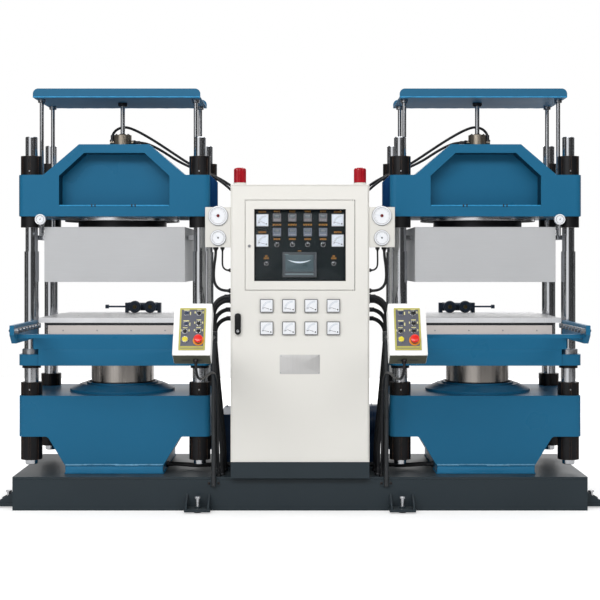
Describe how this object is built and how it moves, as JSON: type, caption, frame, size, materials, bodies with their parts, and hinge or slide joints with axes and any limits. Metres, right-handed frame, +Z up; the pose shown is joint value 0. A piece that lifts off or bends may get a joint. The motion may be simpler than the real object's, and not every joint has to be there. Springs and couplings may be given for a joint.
{
  "type": "rubber mould vulcanizer",
  "caption": "Twin-station four-column hydraulic platen press for vulcanizing rubber moulds, with slide-out trays, lifting roofs and a central control cabinet.",
  "frame": {"origin": "centre of the base frame's underside, on the floor", "axes": "+X to the operator's right along the base, +Y to the back, +Z up; the operator stands on the -Y side"},
  "size_m": [3.554, 1.8704, 2.479],
  "materials": {
    "blue_enamel": "glossy blue machine enamel",
    "base_paint": "satin dark slate paint",
    "cabinet_paint": "fine textured light grey powder coat",
    "beige_paint": "beige powder coat",
    "heater_sheet": "light grey satin sheet metal",
    "skirt_sheet": "off-white sheet metal",
    "tray_steel": "ground mould plate",
    "chrome_steel": "hard chrome on ground steel",
    "black_oxide": "blackened steel",
    "machined_steel": "turned steel",
    "hose_rubber": "black hose cover",
    "instrument_black": "black instrument cases",
    "pane_glass": "smoked pane",
    "signal_red": "translucent red plastic",
    "button_red": "red button plastic",
    "button_yellow": "yellow button plastic",
    "knob_black": "black knob plastic",
    "pendant_paint": "white powder coat",
    "gauge_face": "white dial and bezel",
    "tank_paint": "dark blue tank paint"
  },
  "bodies": {
    "frame": {"base_frame": "base_paint", "levelling_jacks": "base_paint", "left_lower_beam": "blue_enamel", "right_lower_beam": "blue_enamel", "main_cylinders": "blue_enamel", "columns": "chrome_steel", "column_nuts": "black_oxide", "left_upper_beam": "blue_enamel", "right_upper_beam": "blue_enamel", "heater_covers": "heater_sheet", "upper_platens": "machined_steel", "lift_cylinders": "machined_steel", "platen_gauges": "gauge_face", "cabinet_shell": "cabinet_paint", "gauge_boxes": "beige_paint", "beacons": "signal_red", "power_unit": "tank_paint", "pendant_boxes": "pendant_paint", "lift_hoses": "hose_rubber", "side_hoses": "hose_rubber", "gauge_cables": "hose_rubber", "pendant_conduits": "hose_rubber"},
    "left_table_set": {"left_table": "blue_enamel", "left_ram": "chrome_steel", "left_lower_heater": "skirt_sheet", "left_slide_rails": "blue_enamel", "left_tray_drive": "black_oxide"},
    "left_tray": {"left_mould_tray": "tray_steel"},
    "left_roof": {"left_lift_roof": "blue_enamel", "left_lift_rods": "chrome_steel"},
    "right_table_set": {"right_table": "blue_enamel", "right_ram": "chrome_steel", "right_lower_heater": "skirt_sheet", "right_slide_rails": "blue_enamel", "right_tray_drive": "black_oxide"},
    "right_tray": {"right_mould_tray": "tray_steel"},
    "right_roof": {"right_lift_roof": "blue_enamel", "right_lift_rods": "chrome_steel"},
    "door": {"cabinet_door": "cabinet_paint", "door_instruments": "instrument_black"},
    "window": {"window_door": "pane_glass"},
    "handle": {"door_handle": "knob_black"},
    "zone_knob_1": {"zone_switch_1": "knob_black"},
    "zone_knob_2": {"zone_switch_2": "knob_black"},
    "zone_knob_3": {"zone_switch_3": "knob_black"},
    "zone_knob_4": {"zone_switch_4": "knob_black"},
    "left_key": {"left_key_switch": "knob_black"},
    "right_key": {"right_key_switch": "knob_black"},
    "left_selector_1_body": {"left_selector_1": "knob_black"},
    "left_selector_2_body": {"left_selector_2": "knob_black"},
    "left_selector_3_body": {"left_selector_3": "knob_black"},
    "left_selector_4_body": {"left_selector_4": "knob_black"},
    "left_start_button_body": {"left_start_button": "button_yellow"},
    "left_emergency_stop_body": {"left_emergency_stop": "button_red"},
    "right_selector_1_body": {"right_selector_1": "knob_black"},
    "right_selector_2_body": {"right_selector_2": "knob_black"},
    "right_selector_3_body": {"right_selector_3": "knob_black"},
    "right_selector_4_body": {"right_selector_4": "knob_black"},
    "right_start_button_body": {"right_start_button": "button_yellow"},
    "right_emergency_stop_body": {"right_emergency_stop": "button_red"}
  },
  "joints": [
    {"name": "left_table_lift", "type": "slide", "parent": "frame", "child": "left_table_set", "axis": [0, 0, 1], "range_m": [0, 0.165]},
    {"name": "left_tray_slide", "type": "slide", "parent": "left_table_set", "child": "left_tray", "axis": [0, -1, 0], "range_m": [0, 0.55]},
    {"name": "left_roof_lift", "type": "slide", "parent": "frame", "child": "left_roof", "axis": [0, 0, -1], "range_m": [0, 0.12]},
    {"name": "right_table_lift", "type": "slide", "parent": "frame", "child": "right_table_set", "axis": [0, 0, 1], "range_m": [0, 0.165]},
    {"name": "right_tray_slide", "type": "slide", "parent": "right_table_set", "child": "right_tray", "axis": [0, -1, 0], "range_m": [0, 0.55]},
    {"name": "right_roof_lift", "type": "slide", "parent": "frame", "child": "right_roof", "axis": [0, 0, -1], "range_m": [0, 0.12]},
    {"name": "cabinet_door_hinge", "type": "hinge", "parent": "frame", "child": "door", "pos_m": [0.387, -0.495, 1.09], "axis": [0, 0, 1], "range_deg": [0, 90]},
    {"name": "window_hinge", "type": "hinge", "parent": "door", "child": "window", "pos_m": [0.31, -0.494, 1.5405], "axis": [0, 0, 1], "range_deg": [0, 90]},
    {"name": "handle_pivot", "type": "hinge", "parent": "door", "child": "handle", "pos_m": [-0.358, -0.5053, 1.143], "axis": [-1, 0, 0], "range_deg": [0, 45]},
    {"name": "zone_turn_1", "type": "hinge", "parent": "door", "child": "zone_knob_1", "pos_m": [-0.1335, -0.462, 1.544], "axis": [0, 1, 0], "range_deg": [-45, 45]},
    {"name": "zone_turn_2", "type": "hinge", "parent": "door", "child": "zone_knob_2", "pos_m": [-0.0445, -0.462, 1.544], "axis": [0, 1, 0], "range_deg": [-45, 45]},
    {"name": "zone_turn_3", "type": "hinge", "parent": "door", "child": "zone_knob_3", "pos_m": [0.0445, -0.462, 1.544], "axis": [0, 1, 0], "range_deg": [-45, 45]},
    {"name": "zone_turn_4", "type": "hinge", "parent": "door", "child": "zone_knob_4", "pos_m": [0.1335, -0.462, 1.544], "axis": [0, 1, 0], "range_deg": [-45, 45]},
    {"name": "left_key_turn", "type": "hinge", "parent": "door", "child": "left_key", "pos_m": [-0.195, -0.462, 1.434], "axis": [0, 1, 0], "range_deg": [-45, 45]},
    {"name": "right_key_turn", "type": "hinge", "parent": "door", "child": "right_key", "pos_m": [0.195, -0.462, 1.434], "axis": [0, 1, 0], "range_deg": [-45, 45]},
    {"name": "left_selector_1_turn", "type": "hinge", "parent": "frame", "child": "left_selector_1_body", "pos_m": [-0.534, -1.10775, 1.16946], "axis": [0, 0.8829, -0.4695], "range_deg": [-45, 45]},
    {"name": "left_selector_2_turn", "type": "hinge", "parent": "frame", "child": "left_selector_2_body", "pos_m": [-0.534, -1.13592, 1.11649], "axis": [0, 0.8829, -0.4695], "range_deg": [-45, 45]},
    {"name": "left_selector_3_turn", "type": "hinge", "parent": "frame", "child": "left_selector_3_body", "pos_m": [-0.534, -1.15634, 1.07808], "axis": [0, 0.8829, -0.4695], "range_deg": [-45, 45]},
    {"name": "left_selector_4_turn", "type": "hinge", "parent": "frame", "child": "left_selector_4_body", "pos_m": [-0.604, -1.15704, 1.07676], "axis": [0, 0.8829, -0.4695], "range_deg": [-45, 45]},
    {"name": "left_start_press", "type": "slide", "parent": "frame", "child": "left_start_button_body", "axis": [0, 0.8829, -0.4695], "range_m": [0, 0.004], "stiffness_N_per_m": 500, "springref_m": -0.003},
    {"name": "left_stop_press", "type": "slide", "parent": "frame", "child": "left_emergency_stop_body", "axis": [0, 0.8829, -0.4695], "range_m": [0, 0.005], "stiffness_N_per_m": 900, "springref_m": -0.004},
    {"name": "right_selector_1_turn", "type": "hinge", "parent": "frame", "child": "right_selector_1_body", "pos_m": [0.598, -1.10775, 1.16946], "axis": [0, 0.8829, -0.4695], "range_deg": [-45, 45]},
    {"name": "right_selector_2_turn", "type": "hinge", "parent": "frame", "child": "right_selector_2_body", "pos_m": [0.598, -1.13592, 1.11649], "axis": [0, 0.8829, -0.4695], "range_deg": [-45, 45]},
    {"name": "right_selector_3_turn", "type": "hinge", "parent": "frame", "child": "right_selector_3_body", "pos_m": [0.598, -1.15634, 1.07808], "axis": [0, 0.8829, -0.4695], "range_deg": [-45, 45]},
    {"name": "right_selector_4_turn", "type": "hinge", "parent": "frame", "child": "right_selector_4_body", "pos_m": [0.528, -1.15704, 1.07676], "axis": [0, 0.8829, -0.4695], "range_deg": [-45, 45]},
    {"name": "right_start_press", "type": "slide", "parent": "frame", "child": "right_start_button_body", "axis": [0, 0.8829, -0.4695], "range_m": [0, 0.004], "stiffness_N_per_m": 500, "springref_m": -0.003},
    {"name": "right_stop_press", "type": "slide", "parent": "frame", "child": "right_emergency_stop_body", "axis": [0, 0.8829, -0.4695], "range_m": [0, 0.005], "stiffness_N_per_m": 900, "springref_m": -0.004}
  ]
}
